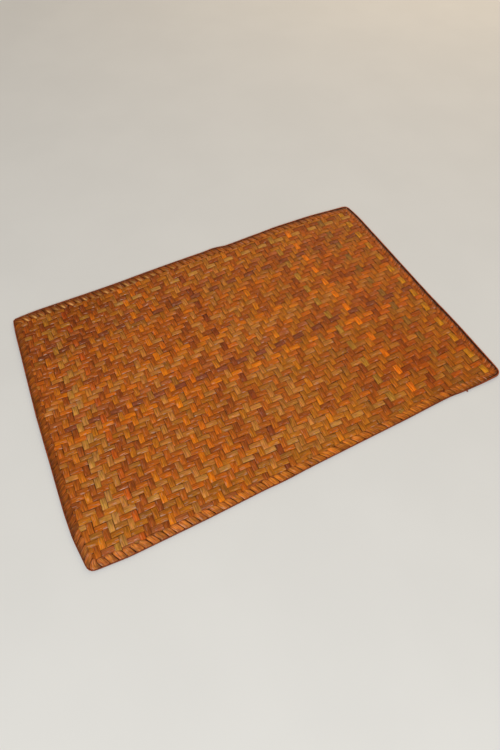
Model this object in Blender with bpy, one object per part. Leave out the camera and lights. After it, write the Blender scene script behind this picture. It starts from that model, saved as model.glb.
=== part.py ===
"""Plaited pandanus place mat: one twill-plaited panel, the strand whipped over its edge all round,
and the smooth strand that runs round outside the whipping.

The mat lies flat. X runs along its long side, Y along its short side and Z is up. The origin is
under the middle of the mat, on the surface it rests on. All sizes are in metres.

The outline is hand made and a little uneven. It is worked out side by side, anticlockwise from the
near left corner: near, right, far, left. Every other line of the mat follows it at some distance in.
"""

import bmesh
import bpy
import numpy as np

# The mat as it was cut and squared up.
MAT_LENGTH = 0.450
MAT_WIDTH = 0.300

# The plaited panel: a sheet that is held up by its binding and lies on the surface inside it.
PANEL_THICKNESS = 0.0016
PANEL_EDGE_LIFT = 0.0008
LEVEL_MARGIN = 0.0010
SETTLING_WIDTH = 0.0220
SETTLING_STEPS = 4

# The whipped binding: a strand that passes over, round and under the panel's edge.
BINDING_HEIGHT = 0.0032
BINDING_WALL = 0.0005
BINDING_CHAMFER = 0.0008
BINDING_LIP_CHAMFER = 0.0002

# The smooth strand outside the binding.
RIM_WIDTH = 0.0019
RIM_HEIGHT = 0.0027
RIM_CHAMFER = 0.0005

# Air between neighbouring pieces.
CLEARANCE = 0.0003

# Steps along each side and round each corner, and the length over which a side's bends are eased.
LONG_SIDE_STEPS = 30
SHORT_SIDE_STEPS = 22
CORNER_STEPS = 5
EASING_LENGTH = 0.012
EASING_SAMPLES = 13
TIGHTEST_CORNER = 0.0012

# The nominal rectangle's sides, in order.
# columns: direction along the side, direction out of the mat, width of the whole bound edge
SIDES = {
    "near": ((1, 0), (0, -1), 0.0070),
    "right": ((0, 1), (1, 0), 0.0090),
    "far": ((-1, 0), (0, 1), 0.0095),
    "left": ((0, -1), (-1, 0), 0.0078),
}

# The mat's corners, each at the start of the side of that row.
# columns: how far it is drawn in along the side before it, along its own side, and its radius
CORNERS = {
    "near": (0.0031, 0.0063, 0.0060),
    "right": (0.0004, -0.0023, 0.0080),
    "far": (0.0055, 0.0025, 0.0060),
    "left": (0.0041, 0.0022, 0.0030),
}

# How far each side stands out beyond its straight line, from one corner to the next.
# columns: distance along the side from the nominal corner, distance out
BOWS = {
    "near": (
        (0.0125, -0.0025),
        (0.0400, -0.0001),
        (0.1150, 0.0008),
        (0.1800, 0.0005),
        (0.1890, 0.0015),
        (0.2050, 0.0006),
        (0.3320, 0.0004),
        (0.3810, -0.0004),
        (0.4030, 0.0015),
        (0.4330, 0.0025),
    ),
    "right": (
        (0.0140, 0.0000),
        (0.0750, 0.0007),
        (0.1150, -0.0005),
        (0.1810, -0.0002),
        (0.2650, 0.0003),
        (0.2800, -0.0006),
    ),
    "far": (
        (0.0120, -0.0052),
        (0.0560, -0.0010),
        (0.1060, 0.0005),
        (0.1830, -0.0018),
        (0.1930, 0.0015),
        (0.2060, 0.0004),
        (0.2600, 0.0005),
        (0.3360, -0.0013),
        (0.4230, -0.0005),
    ),
    "left": (
        (0.0220, -0.0028),
        (0.1310, 0.0000),
        (0.2400, -0.0003),
        (0.2640, -0.0013),
        (0.2920, -0.0055),
    ),
}

# columns: colour, roughness
FINISHES = {
    "woven_panel": ((0.36, 0.12, 0.03), 0.55),
    "edge_binding": ((0.38, 0.13, 0.03), 0.50),
    "rim_strand": ((0.22, 0.06, 0.02), 0.50),
}


def clear_scene():
    for obj in list(bpy.data.objects):
        bpy.data.objects.remove(obj, do_unlink=True)


def side_table(name, following):
    """The rows of a side's bow, with the corner before it and the corner after it at its ends."""
    length = MAT_LENGTH if SIDES[name][0][0] else MAT_WIDTH
    out_at_start, in_at_start, _ = CORNERS[name]
    in_at_end, out_at_end, _ = CORNERS[following]
    rows = [(in_at_start, -out_at_start), *BOWS[name], (length - in_at_end, -out_at_end)]
    return np.array(rows)


def bow(table, along):
    """Straight runs between a table's rows, eased by the mean over a short length each way."""
    window = np.linspace(-EASING_LENGTH / 2, EASING_LENGTH / 2, EASING_SAMPLES)
    return np.interp(along[:, None] + window, table[:, 0], table[:, 1]).mean(axis=1)


def rounded_corner(before, corner, after):
    """A curve from one side to the next: it leaves each side along that side's own line."""
    share = np.linspace(0, 1, CORNER_STEPS + 2)[1:-1, None]
    return (1 - share) ** 2 * before + 2 * share * (1 - share) * corner + share**2 * after


def outline(insets):
    """The mat's outline drawn in by each side's own inset, as points in X and Y.

    Every call gives the same number of points in the same order, so that two outlines can be bridged.
    """
    names = list(SIDES)
    starts = {
        "near": (0.0, 0.0),
        "right": (MAT_LENGTH, 0.0),
        "far": (MAT_LENGTH, MAT_WIDTH),
        "left": (0.0, MAT_WIDTH),
    }
    sides = []
    for index, name in enumerate(names):
        before, following = names[index - 1], names[(index + 1) % len(names)]
        table = side_table(name, following)
        radius_start = max(CORNERS[name][2] - insets[name], TIGHTEST_CORNER)
        radius_end = max(CORNERS[following][2] - insets[name], TIGHTEST_CORNER)
        first = table[0, 0] + insets[before] + radius_start
        last = table[-1, 0] - insets[following] - radius_end
        steps = LONG_SIDE_STEPS if SIDES[name][0][0] else SHORT_SIDE_STEPS
        along = np.linspace(first, last, steps + 1)
        out = bow(table, along) - insets[name]
        direction, outward = (np.array(SIDES[name][column], float) for column in (0, 1))
        sides.append(np.array(starts[name]) + along[:, None] * direction + out[:, None] * outward)
    points = []
    for index, side in enumerate(sides):
        following = sides[(index + 1) % len(sides)]
        corner = meeting_point(side[-2], side[-1], following[1], following[0])
        points += [side, rounded_corner(side[-1], corner, following[0])]
    return np.concatenate(points)


def meeting_point(a, b, c, d):
    """Where the line through a and b meets the line through c and d."""
    along_first, along_second = b - a, d - c
    share = np.linalg.solve(np.column_stack([along_first, -along_second]), c - a)[0]
    return a + share * along_first


def inset_by(distance):
    """The same inset on all four sides."""
    return {name: distance for name in SIDES}


def inset_from_band(distance):
    """Each side's inset to a line this far inside its bound edge."""
    return {name: row[2] + distance for name, row in SIDES.items()}


def middle_of_mat():
    """The middle of the box round the whole mat."""
    points = outline(inset_by(0.0))
    return (points.min(axis=0) + points.max(axis=0)) / 2


def loop_of(mesh, insets, height):
    """One closed loop of vertices: the outline at these insets, at this height."""
    return [mesh.verts.new((x, y, height)) for x, y in outline(insets) - middle_of_mat()]


def bridge(mesh, first, second):
    """A band of faces between two loops that have the same number of points."""
    for index in range(len(first)):
        other = (index + 1) % len(first)
        mesh.faces.new((first[index], first[other], second[other], second[index]))


def make_object(name, mesh):
    """An object in the scene from a finished mesh, with its own material."""
    bmesh.ops.recalc_face_normals(mesh, faces=mesh.faces)
    data = bpy.data.meshes.new(name)
    mesh.to_mesh(data)
    mesh.free()
    obj = bpy.data.objects.new(name, data)
    bpy.context.collection.objects.link(obj)
    colour, roughness = FINISHES[name]
    material = bpy.data.materials.new(name)
    material.use_nodes = True
    surface = material.node_tree.nodes["Principled BSDF"]
    surface.inputs["Base Color"].default_value = (*colour, 1)
    surface.inputs["Roughness"].default_value = roughness
    surface.inputs["Metallic"].default_value = 0
    data.materials.append(material)
    return obj


def make_hoop(name, section):
    """A closed section, given as rows of insets and height, carried right round the mat."""
    mesh = bmesh.new()
    loops = [loop_of(mesh, insets, height) for insets, height in section]
    for index, loop in enumerate(loops):
        bridge(mesh, loop, loops[(index + 1) % len(loops)])
    return make_object(name, mesh)


def make_rim_strand():
    """The smooth strand outside the whipping: an eight-sided section, flat on the surface."""
    near, far = 0.0, RIM_WIDTH
    low, high = 0.0, RIM_HEIGHT
    section = (
        (near, low + RIM_CHAMFER),
        (near, high - RIM_CHAMFER),
        (near + RIM_CHAMFER, high),
        (far - RIM_CHAMFER, high),
        (far, high - RIM_CHAMFER),
        (far, low + RIM_CHAMFER),
        (far - RIM_CHAMFER, low),
        (near + RIM_CHAMFER, low),
    )
    return make_hoop("rim_strand", [(inset_by(inset), height) for inset, height in section])


def make_edge_binding():
    """The whipped strand as one channel: it lies over, outside and under the panel's edge."""
    outer = RIM_WIDTH + CLEARANCE
    high = BINDING_HEIGHT
    lip = inset_from_band(0.0)
    lip_flat = inset_from_band(-BINDING_LIP_CHAMFER)
    section = (
        (inset_by(outer), BINDING_CHAMFER),
        (inset_by(outer), high - BINDING_CHAMFER),
        (inset_by(outer + BINDING_CHAMFER), high),
        (lip_flat, high),
        (lip, high - BINDING_LIP_CHAMFER),
        (lip, high - BINDING_WALL),
        (inset_by(outer + BINDING_WALL), high - BINDING_WALL),
        (inset_by(outer + BINDING_WALL), BINDING_WALL),
        (lip, BINDING_WALL),
        (lip, BINDING_LIP_CHAMFER),
        (lip_flat, 0.0),
        (inset_by(outer + BINDING_CHAMFER), 0.0),
    )
    return make_hoop("edge_binding", section)


def make_woven_panel():
    """The plaited sheet: its edge is held inside the binding, and its middle lies on the surface.

    Between the two its height falls as an eased step: three times the share squared, less twice
    the share cubed.
    """
    edge = inset_by(RIM_WIDTH + CLEARANCE + BINDING_WALL + CLEARANCE)
    rows = [(edge, PANEL_EDGE_LIFT)]
    for step in range(SETTLING_STEPS + 1):
        share = step / SETTLING_STEPS
        fall = 3 * share**2 - 2 * share**3
        insets = inset_from_band(LEVEL_MARGIN + share * SETTLING_WIDTH)
        rows.append((insets, PANEL_EDGE_LIFT * (1 - fall)))
    mesh = bmesh.new()
    under = [loop_of(mesh, insets, height) for insets, height in rows]
    over = [loop_of(mesh, insets, height + PANEL_THICKNESS) for insets, height in rows]
    loops = under[::-1] + over
    for first, second in zip(loops, loops[1:]):
        bridge(mesh, first, second)
    mesh.faces.new(under[-1])
    mesh.faces.new(over[-1])
    return make_object("woven_panel", mesh)


def main():
    clear_scene()
    make_woven_panel()
    make_edge_binding()
    make_rim_strand()


main()
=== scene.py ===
"""Plaited pandanus place mat: twill plait, whipped edge and rim strand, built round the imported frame.

All sizes are in metres unless a name or a table says millimetres. X runs along the mat's long side,
Y along its short side away from the viewer and Z is up. The mat lies on the surface at Z = 0.
"""

import math

import bpy
import numpy as np
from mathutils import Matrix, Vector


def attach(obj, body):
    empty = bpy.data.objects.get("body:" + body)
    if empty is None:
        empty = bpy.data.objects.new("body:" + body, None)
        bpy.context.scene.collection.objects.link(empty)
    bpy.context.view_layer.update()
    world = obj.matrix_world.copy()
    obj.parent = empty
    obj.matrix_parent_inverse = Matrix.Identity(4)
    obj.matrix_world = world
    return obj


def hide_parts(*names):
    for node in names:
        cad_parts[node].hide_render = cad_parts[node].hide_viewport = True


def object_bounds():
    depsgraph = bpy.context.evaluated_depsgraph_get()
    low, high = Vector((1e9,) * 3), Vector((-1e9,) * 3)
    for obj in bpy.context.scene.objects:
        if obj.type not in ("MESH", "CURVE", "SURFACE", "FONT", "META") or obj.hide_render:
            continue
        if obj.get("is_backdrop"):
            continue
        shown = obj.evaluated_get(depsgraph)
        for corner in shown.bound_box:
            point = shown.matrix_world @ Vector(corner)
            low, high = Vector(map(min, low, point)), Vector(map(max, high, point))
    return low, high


bl_info = {
    "name": "Plaited pandanus mat",
    "version": (1, 0, 0),
    "blender": (4, 5, 0),
    "location": "3D View > Sidebar > Pandanus Mat",
    "description": "Makes a twill-plaited pandanus place mat with a whipped edge",
    "category": "Add Mesh",
}

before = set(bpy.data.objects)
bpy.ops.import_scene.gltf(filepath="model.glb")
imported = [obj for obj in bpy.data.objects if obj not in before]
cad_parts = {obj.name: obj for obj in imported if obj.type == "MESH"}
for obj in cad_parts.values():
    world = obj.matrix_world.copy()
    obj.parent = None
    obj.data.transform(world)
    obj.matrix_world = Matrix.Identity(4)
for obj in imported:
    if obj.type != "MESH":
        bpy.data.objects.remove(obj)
CAD_BOX = tuple(np.array(corner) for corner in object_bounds())
BODY = "root"

MM = 0.001

# Where the upright strips lie, in millimetres from the box's left side. The strips between these
# ten follow smooth lines through them. Rows: strip centres, by number. Columns: the heights below,
# from the box's near side.
UPRIGHT_HEIGHTS = (17.0, 77.0, 137.0, 202.0, 287.0)
UPRIGHT_STRIPS = (1.5, 4.5, 12.5, 20.5, 32.5, 42.5, 53.5, 57.5, 65.5, 70.5)
UPRIGHT_PLACES = (
    (22.6, 22.8, 23.4, 25.4, 25.2),
    (39.4, 39.8, 41.3, 42.9, 40.6),
    (83.4, 84.2, 86.4, 88.0, 83.4),
    (130.1, 130.9, 132.2, 130.7, 124.9),
    (198.8, 202.7, 203.1, 201.1, 197.6),
    (258.6, 262.0, 261.2, 258.9, 259.2),
    (328.5, 328.6, 327.7, 325.8, 325.3),
    (354.9, 354.7, 353.1, 350.3, 350.2),
    (403.9, 403.4, 402.7, 399.3, 398.8),
    (436.0, 434.5, 434.6, 432.6, 431.3),
)

# The same for the lengthways strips, in millimetres from the box's near side. Columns: the
# distances below, from the box's left side.
LENGTHWAYS_DISTANCES = (22.0, 131.5, 260.5, 351.0, 434.0)
LENGTHWAYS_STRIPS = (-20, -10, 0, 10, 20, 30)
LENGTHWAYS_PLACES = (
    (25.5, 21.0, 12.8, 8.8, 8.7),
    (79.1, 74.0, 67.0, 68.0, 68.9),
    (130.0, 126.6, 126.1, 129.3, 129.1),
    (179.5, 179.8, 183.0, 185.4, 184.0),
    (229.2, 233.5, 239.1, 240.8, 240.1),
    (282.6, 287.2, 295.6, 298.2, 294.1),
)
FIRST_UPRIGHT, LAST_UPRIGHT = -3, 73
FIRST_LENGTHWAYS, LAST_LENGTHWAYS = -24, 33

# In 2/2 twill each strip passes over two and under two, one crossing further on in each next row.
TWILL = 4
PLACE_ROUNDS = 5

# Seeds, one for each kind of piece.
SEEDS = {"upright": 11, "lengthways": 23, "whipping": 37, "rim": 41}


def eased(share):
    """An eased step from 0 to 1: three times the share squared less twice its cube."""
    return share * share * (3 - 2 * share)


def srgb(red, green, blue):
    """A colour from its 0 to 255 screen values, in linear light: the standard two-piece curve."""
    shares = np.array((red, green, blue)) / 255
    return np.where(shares <= 0.04045, shares / 12.92, ((shares + 0.055) / 1.055) ** 2.4)


# columns: colour, how often it is used in upright strips, and in lengthways strips
DYES = {
    "russet": (srgb(174, 88, 20), 0.36, 0.36),
    "ochre": (srgb(180, 102, 22), 0.30, 0.20),
    "orange": (srgb(192, 96, 14), 0.12, 0.06),
    "olive": (srgb(168, 100, 34), 0.08, 0.08),
    "tan": (srgb(186, 114, 48), 0.06, 0.10),
    "umber": (srgb(156, 76, 22), 0.08, 0.06),
    "rose brown": (srgb(176, 94, 46), 0.00, 0.16),
}

# Strips whose colour stands out, by number.
UPRIGHT_ACCENTS = {
    1: srgb(196, 108, 22),
    3: srgb(190, 128, 56),
    4: srgb(188, 124, 60),
    7: srgb(192, 88, 20),
    12: srgb(206, 112, 18),
    20: srgb(214, 114, 10),
    32: srgb(136, 62, 24),
    42: srgb(204, 114, 18),
    53: srgb(176, 122, 48),
    57: srgb(232, 122, 6),
    65: srgb(152, 102, 52),
    70: srgb(198, 130, 28),
}
LENGTHWAYS_ACCENTS = {
    -16: srgb(192, 110, 26),
    -17: srgb(188, 122, 54),
    0: srgb(212, 112, 10),
    2: srgb(142, 72, 44),
    6: srgb(202, 102, 14),
    7: srgb(192, 116, 48),
    9: srgb(200, 110, 24),
    10: srgb(206, 108, 12),
    18: srgb(204, 106, 14),
    19: srgb(184, 102, 38),
    21: srgb(140, 72, 40),
    25: srgb(188, 112, 28),
    27: srgb(190, 130, 62),
}

# Lighter and darker patches of the mat: partly the leaves' own tone, partly painted light and shade.
# columns: x and y of the middle and reach in millimetres, change of lightness, change towards grey
TONE_AND_LIGHT_PATCHES = (
    (-190, -120, 60, 0.03, 0.20),
    (-200, 120, 70, -0.16, -0.40),
    (-140, 142, 42, -0.22, -0.30),
    (150, -142, 42, -0.12, -0.10),
    (-60, -60, 90, 0.03, 0.00),
    (0, -112, 75, 0.07, 0.25),
    (-20, 20, 50, 0.03, -0.05),
    (170, -90, 80, -0.02, -0.55),
    (190, 60, 90, -0.02, -0.50),
    (40, 120, 80, 0.02, -0.15),
)


# Smooth lines through a few given places


def line_weights(knots, at):
    """Share of each knot's value at each place: cubic pieces that leave a knot with the slope
    between its two neighbours, and straight lines beyond the two ends."""
    knots = np.asarray(knots, float)
    at = np.asarray(at, float)
    count = len(knots)
    rows = np.arange(count)
    before = np.maximum(rows - 1, 0)
    after = np.minimum(rows + 1, count - 1)
    slopes = np.zeros((count, count))
    slopes[rows, after] += 1 / (knots[after] - knots[before])
    slopes[rows, before] -= 1 / (knots[after] - knots[before])
    low = np.clip(np.searchsorted(knots, at) - 1, 0, count - 2)
    step = knots[low + 1] - knots[low]
    share = (at - knots[low]) / step
    inner = np.clip(share, 0, 1)
    reached = eased(inner)
    leaving = step * (inner * (1 - inner) ** 2 + np.minimum(share, 0))
    arriving = step * (inner * inner * (inner - 1) + np.maximum(share - 1, 0))
    unit = np.eye(count)
    return (
        (1 - reached)[..., None] * unit[low]
        + reached[..., None] * unit[low + 1]
        + leaving[..., None] * slopes[low]
        + arriving[..., None] * slopes[low + 1]
    )


def plait_place(upright, lengthways):
    """Where the plait's coordinates lie on the mat, as x and y. An upright strip's x depends on its
    y and a lengthways strip's y on its x, so each is worked out from the other a few times."""
    upright, lengthways = np.broadcast_arrays(upright, lengthways)
    across = line_weights(UPRIGHT_STRIPS, upright) @ np.array(UPRIGHT_PLACES)
    along = line_weights(LENGTHWAYS_STRIPS, lengthways) @ np.array(LENGTHWAYS_PLACES)
    y = along.mean(-1)
    for _ in range(PLACE_ROUNDS):
        x = (across * line_weights(UPRIGHT_HEIGHTS, y)).sum(-1)
        y = (along * line_weights(LENGTHWAYS_DISTANCES, x)).sum(-1)
    low = CAD_BOX[0]
    return low[0] + x * MM, low[1] + y * MM


# The mat's own lines, read from the frame


def wall_line(node, outward, above):
    """The line of a node's upright wall, anticlockwise seen from above: the corners of the faces
    that stand upright, lie above a height and face out of the mat, or into it."""
    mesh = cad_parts[node].data
    count = len(mesh.polygons)
    normals = np.empty(count * 3, np.float32)
    centres = np.empty(count * 3, np.float32)
    corners = np.empty(len(mesh.loops), np.int32)
    points = np.empty(len(mesh.vertices) * 3, np.float32)
    mesh.polygons.foreach_get("normal", normals)
    mesh.polygons.foreach_get("center", centres)
    mesh.loops.foreach_get("vertex_index", corners)
    mesh.vertices.foreach_get("co", points)
    normals = normals.reshape(-1, 3)
    centres = centres.reshape(-1, 3)
    facing = (normals[:, :2] * centres[:, :2]).sum(1) * (1 if outward else -1)
    chosen = (np.abs(normals[:, 2]) < 0.2) & (facing > 0) & (centres[:, 2] > above)
    found = points.reshape(-1, 3)[corners.reshape(-1, 3)[chosen].ravel(), :2]
    found = np.unique(np.round(found, 6), axis=0)
    return found[np.argsort(np.arctan2(found[:, 1], found[:, 0]))]


def closed_places(line):
    """Distance of each point along a closed line, and the line's whole length."""
    steps = np.linalg.norm(np.roll(line, -1, axis=0) - line, axis=1)
    return np.concatenate([[0], np.cumsum(steps)[:-1]]), steps.sum()


def along_closed(values, places, length, at):
    """Values at distances along a closed line: cubic pieces that leave each given place with the
    slope between its two neighbours."""
    values = values[:, None] if values.ndim == 1 else values
    padded = np.concatenate([values[-2:], values, values[:3]])
    spots = np.concatenate([places[-2:] - length, places, places[:3] + length])
    at = np.mod(at, length)
    low = np.searchsorted(spots, at, side="right") - 1
    slopes = np.zeros_like(padded)
    slopes[1:-1] = (padded[2:] - padded[:-2]) / (spots[2:] - spots[:-2])[:, None]
    step = (spots[low + 1] - spots[low])[..., None]
    share = (at - spots[low])[..., None] / step
    reached = eased(share)
    made = (1 - reached) * padded[low] + reached * padded[low + 1]
    made += step * share * (1 - share) ** 2 * slopes[low]
    made += step * share * share * (share - 1) * slopes[low + 1]
    return made


def nearest_on(points, line):
    """The nearest point of a closed line to each point."""
    nearest = np.full(len(points), np.inf)
    found = points.copy()
    for start, end in zip(line, np.roll(line, -1, axis=0)):
        side = end - start
        share = np.clip((points - start) @ side / (side @ side), 0, 1)
        reached = start + share[:, None] * side
        away = np.linalg.norm(points - reached, axis=1)
        closer = away < nearest
        nearest[closer] = away[closer]
        found[closer] = reached[closer]
    return found


def edge_lines():
    """The edge's outer line and line of needle holes at even stations from the middle of the left
    side: each hole point is the one nearest to its outer point, evened out over its neighbours."""
    corners = wall_line("rim_strand", True, 0.0005)
    places, length = closed_places(corners)
    outer = along_closed(corners, places, length, np.arange(EDGE_STATIONS) / EDGE_STATIONS * length)
    start = np.argmin(np.abs(outer[:, 1]) + np.where(outer[:, 0] > 0, 1.0, 0.0))
    outer = np.roll(outer, -start, axis=0)
    hole = nearest_on(outer, wall_line("edge_binding", False, 0.0026))
    hole = (np.roll(hole, 1, axis=0) + 2 * hole + np.roll(hole, -1, axis=0)) / 4
    outward = (outer - hole) / np.linalg.norm(outer - hole, axis=1)[:, None]
    shares, insets = np.array(HOLE_INSETS).T
    inset = np.interp(np.arange(EDGE_STATIONS) / EDGE_STATIONS, shares, insets)[:, None] * MM
    return outer + outward * EDGE_FULLNESS, hole - outward * inset


# How far the strands stand out beyond the solid's outer line.
EDGE_FULLNESS = 0.0008
# How far the needle holes lie inside the solid's inner line, in millimetres: shares of the whole
# edge from the middle of the left side, going round by the near side, and the distance there.
HOLE_INSETS = (
    (0.00, 0.0),
    (0.09, 0.2),
    (0.11, 0.9),
    (0.39, 0.9),
    (0.41, 0.7),
    (0.59, 0.9),
    (0.61, 1.5),
    (0.89, 1.5),
    (0.91, 0.2),
    (1.00, 0.0),
)
EDGE_STATIONS = 720
COARSE = 4
OUTER_LINE, HOLE_LINE = edge_lines()
EDGE_WIDTHS = np.linalg.norm(HOLE_LINE - OUTER_LINE, axis=1)
EDGE_PLACES, EDGE_LENGTH = closed_places((OUTER_LINE + HOLE_LINE) / 2)


def round_line(values, at):
    """Values given at the edge's stations, read at distances along the edge."""
    return along_closed(values, EDGE_PLACES, EDGE_LENGTH, at)


def edge_place(along, inset):
    """The point at a distance along the edge and a distance in from the outer line, measured on the
    straight line from the outer line to the line of needle holes."""
    outer = round_line(OUTER_LINE, along)
    hole = round_line(HOLE_LINE, along)
    width = round_line(EDGE_WIDTHS, along)
    return outer + (hole - outer) * (inset[..., None] / width)


def depth_inside(points, line):
    """How far points lie inside a closed line, negative outside: the distance to the nearest side,
    with the sign from the number of sides that a ray along X crosses."""
    nearest = np.full(points.shape[:-1], np.inf)
    crossings = np.zeros(points.shape[:-1], int)
    for start, end in zip(line, np.roll(line, -1, axis=0)):
        side = end - start
        offset = points - start
        share = np.clip((offset @ side) / (side @ side), 0, 1)
        away = offset - share[..., None] * side
        nearest = np.minimum(nearest, np.hypot(away[..., 0], away[..., 1]))
        rises = (start[1] > points[..., 1]) != (end[1] > points[..., 1])
        slope = side[0] / side[1] if side[1] else 0.0
        crossings += rises & (points[..., 0] < start[0] + slope * offset[..., 1])
    return np.where(crossings % 2 == 1, nearest, -nearest)


# Making meshes


def skin_faces(stations, around, first, closed, clockwise=False):
    """Faces over rings of points, facing out of the tube: a quad between each two neighbours round
    and along. Open tubes get a flat face at each end. A clockwise ring is one whose points run
    clockwise to someone whom the tube comes towards, so its faces are turned round."""
    ring = np.arange(around)
    after = (ring + 1) % around
    rows = np.arange(stations if closed else stations - 1)[:, None]
    later = (rows + 1) % stations
    quads = np.stack(
        [
            rows * around + ring,
            rows * around + after,
            later * around + after,
            later * around + ring,
        ],
        axis=-1,
    )
    if clockwise:
        quads = quads[..., [0, 3, 2, 1]]
        ring = ring[::-1]
    faces = (quads.reshape(-1, 4) + first).tolist()
    if not closed:
        last = (stations - 1) * around
        faces.append((ring[::-1] + first).tolist())
        faces.append((ring + last + first).tolist())
    return faces


def put_piece(name, points, faces, attributes, material, slot, nodes, sharp=40.0):
    """Puts worked-out points and faces into a mesh object that rides on the mat."""
    mesh = bpy.data.meshes.new(name)
    mesh.from_pydata(points.reshape(-1, 3), [], faces)
    for key, (kind, field, values) in attributes.items():
        layer = mesh.attributes.new(key, kind, "POINT")
        layer.data.foreach_set(field, np.ascontiguousarray(values, np.float32).ravel())
    mesh.polygons.foreach_set("use_smooth", np.ones(len(mesh.polygons), bool))
    mesh.set_sharp_from_angle(angle=math.radians(sharp))
    mesh.materials.append(material)
    mesh.validate()
    mesh.update()
    piece = bpy.data.objects.new(name, mesh)
    bpy.context.scene.collection.objects.link(piece)
    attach(piece, BODY)
    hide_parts(*nodes)
    return piece


def strip_attributes(across, along, edge, dye, painted_shade, pale):
    """The attributes that a strip's material reads: place across and along it, the share of its
    width from its middle, its own colour with painted light and shade mixed in, how much painted
    shade it gets where it goes deep between its neighbours and under other parts, and how much
    painted highlight shows."""
    place = np.stack(np.broadcast_arrays(across, along, edge), axis=-1)
    colour = np.concatenate([dye, np.ones(dye.shape[:-1] + (1,))], axis=-1)
    return {
        "strip_place": ("FLOAT_VECTOR", "vector", place),
        "strip_dye": ("FLOAT_COLOR", "color", colour),
        "strip_bury": ("FLOAT", "value", painted_shade),
        "strip_pale": ("FLOAT", "value", pale),
    }


def slow_noise(random, count, length, at):
    """Smooth random values from -1 to 1 along strips, one row for each: eased steps between random
    values that stand a given length apart."""
    at = np.asarray(at, float) / length
    low = np.floor(at).astype(int)
    values = random.uniform(-1, 1, (count, low.max() - low.min() + 2))
    low = low - low.min()
    reached = eased(at - np.floor(at))
    return values[:, low] * (1 - reached) + values[:, low + 1] * reached


# The plait

# Where each strip's stations stand in a crossing, as shares of it, and how high the strip is at
# them: first crossing of a float, then second. Under the others it is as low as it is high here.
STATION_SHARES = (-0.41, 0.0, 0.41)
FLOAT_RISE = ((0.52, 0.94, 1.12), (1.12, 0.94, 0.52))

# The strip's section: places across it from -1 to 1, and the share of the thickness above its
# middle. Top from left to right, then underside from right to left.
SECTION_ACROSS = np.array((-1.0, -0.62, 0.0, 0.62, 1.0, 0.96, -0.96))
SECTION_HEIGHT = np.array((0.08, 0.46, 0.66, 0.46, 0.08, -0.50, -0.50))

# How strips vary: stretch of the changes of width against those of place, crossings between
# changes of roll, and how much of a change of hue goes to red, green and blue.
NARROWING_STRETCH = 1.7
ROLL_LENGTH = 2.0
HUE_SHARES = np.array((0.3, 0.8, 2.5))
# Painted light and shade: how much lighter each kind of strip is painted where it rises, darker
# where the share is negative. Painted highlight: how much of it shows at the mat's right side and
# how much more at its left.
LEAN_PAINTED_LIGHT = {"upright": 0.11, "lengthways": -0.05}
PAINTED_SHEEN_SHARES = {"upright": (0.15, 0.20), "lengthways": (0.35, 0.60)}
# Least gap in crossings between a strip's end and its next station, and fewest stations in a strip.
END_GAP = 0.1
FEWEST_STATIONS = 4
# Points of the plait's grid to a crossing, and points on the trimmed edge.
FINE_GRID = 8
TRIM_STATIONS = 180


def plait_limits(trim):
    """The plait's ends. For each strip of either kind, the coordinates between which its line
    lies inside the trimmed edge, worked out on a fine grid of the plait's coordinates."""
    upright, lengthways = (
        np.linspace(first, last, (last - first) * FINE_GRID + 1)
        for first, last in ((FIRST_UPRIGHT, LAST_UPRIGHT), (FIRST_LENGTHWAYS, LAST_LENGTHWAYS))
    )
    x, y = plait_place(upright[:, None], lengthways[None, :])
    depth = depth_inside(np.stack([x, y], axis=-1), trim)

    def ends(values, scale):
        """First and last place of each row where the values pass nought. A row that never does
        gets infinity for its first and minus infinity for its last."""
        inside = values > 0
        some = inside.any(1)
        first = np.argmax(inside, axis=1)
        last = values.shape[1] - 1 - np.argmax(inside[:, ::-1], axis=1)
        rows = np.arange(len(values))
        before = np.maximum(first - 1, 0)
        after = np.minimum(last + 1, values.shape[1] - 1)
        with np.errstate(divide="ignore", invalid="ignore"):
            low = values[rows, first] / (values[rows, first] - values[rows, before])
            high = values[rows, last] / (values[rows, last] - values[rows, after])
        low = scale[first] - np.nan_to_num(low) * (scale[1] - scale[0])
        high = scale[last] + np.nan_to_num(high) * (scale[1] - scale[0])
        return np.where(some, low, np.inf), np.where(some, high, -np.inf)

    return (upright, ends(depth, lengthways)), (lengthways, ends(depth.T, upright))


def strip_level(number, stations, upright):
    """How high a strip lies at each station, from -1 to 1. An upright strip is over the strips
    whose number is two or three more than its own, counted in fours; a lengthways strip is over
    where its own number is none or one more."""
    crossing = np.round(stations).astype(int) if upright else np.floor(stations).astype(int)
    place = stations - crossing - (0 if upright else 0.5)
    step = (crossing - number) % TWILL if upright else (number - crossing) % TWILL
    over = step >= 2 if upright else step <= 1
    second = step % 2 if upright else 1 - step % 2
    rises = np.array(FLOAT_RISE)
    shares = np.array(STATION_SHARES)
    first_rise = np.interp(place, shares, rises[0])
    second_rise = np.interp(place, shares, rises[1])
    rise = np.where(second == 1, second_rise, first_rise)
    return np.where(over, rise, -rise)


def panel_height(depth, settings):
    """Height of the plait's middle: half its thickness in the middle of the mat, rising on an
    eased curve to the edge, which the whipping holds up."""
    share = np.clip(1 - depth / settings.settling, 0, 1)
    return settings.rest_height + settings.edge_lift * eased(share)


def longest_run(chosen):
    """The longest run of neighbouring True values, as a slice."""
    padded = np.concatenate([[False], chosen, [False]])
    changes = np.flatnonzero(padded[1:] != padded[:-1]).reshape(-1, 2)
    if not len(changes):
        return slice(0, 0)
    first, last = changes[np.argmax(changes[:, 1] - changes[:, 0])]
    return slice(first, last)


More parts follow.
